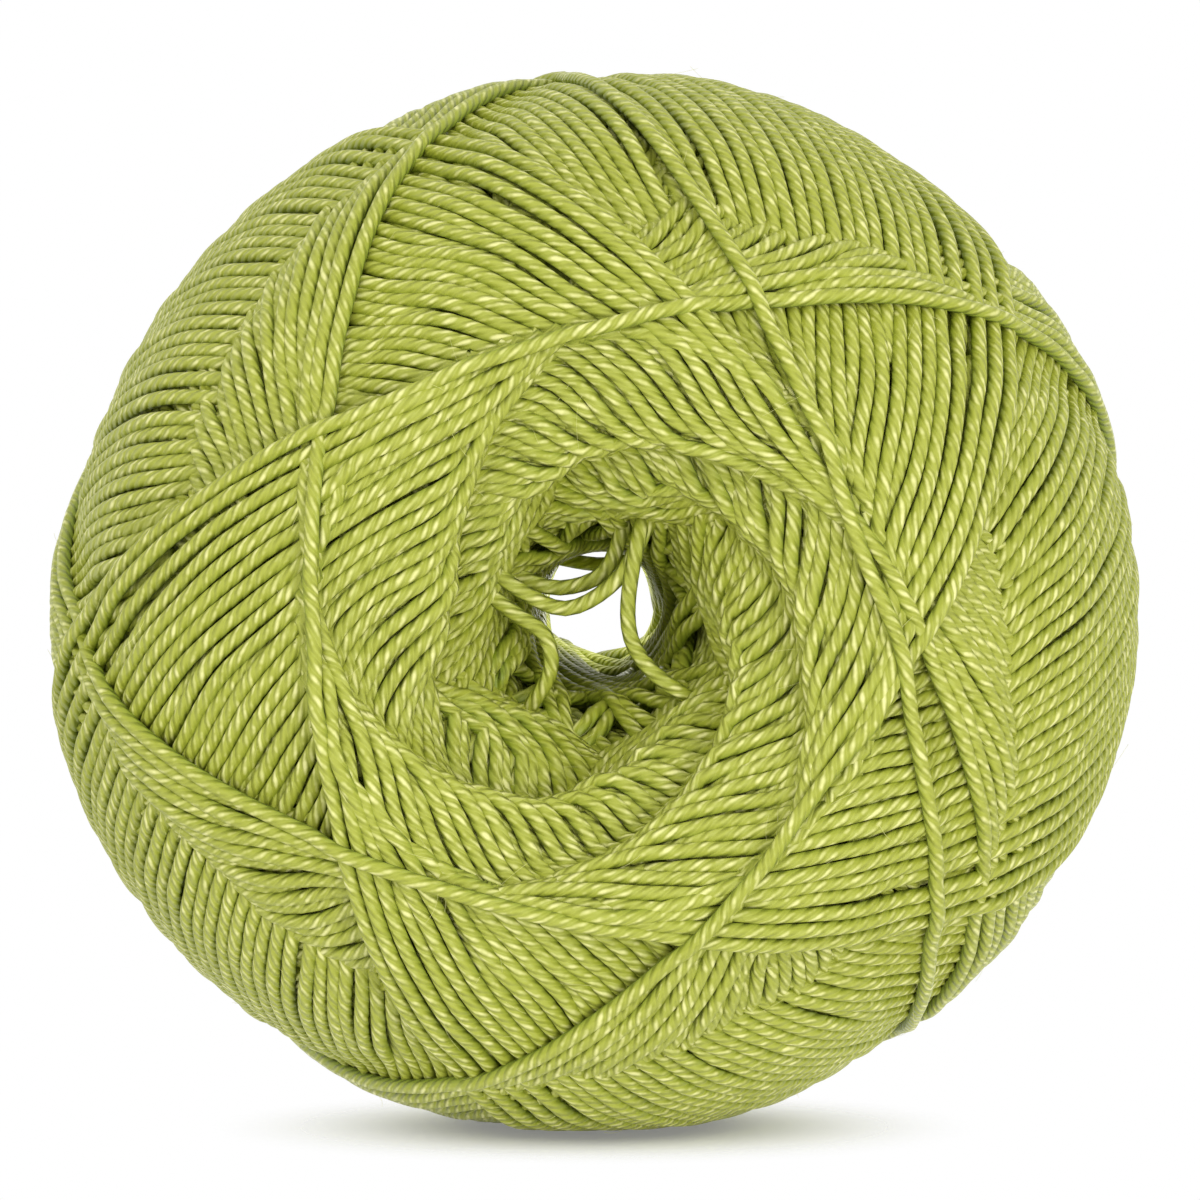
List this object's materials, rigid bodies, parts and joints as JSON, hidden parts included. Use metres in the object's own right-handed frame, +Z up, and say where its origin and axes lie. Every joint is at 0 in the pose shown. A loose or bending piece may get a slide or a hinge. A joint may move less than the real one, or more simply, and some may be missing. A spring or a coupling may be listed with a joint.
{
  "type": "centre-pull ball of crochet thread",
  "caption": "Round ball of wound crochet thread with a hole through its middle, lying on its side, to be worked from the outside or the centre.",
  "frame": {"origin": "middle of the ball's underside, on the surface that it rests on", "axes": "+Z up, Y along the hole through the ball, -Y towards the end with the wider view into the hole, +X to the right seen from -Y"},
  "size_m": [0.0788, 0.0704, 0.0763],
  "materials": {
    "thread": "mercerised cotton, soft sheen"
  },
  "bodies": {
    "root": {"thread_ball": "thread"}
  },
  "joints": []
}
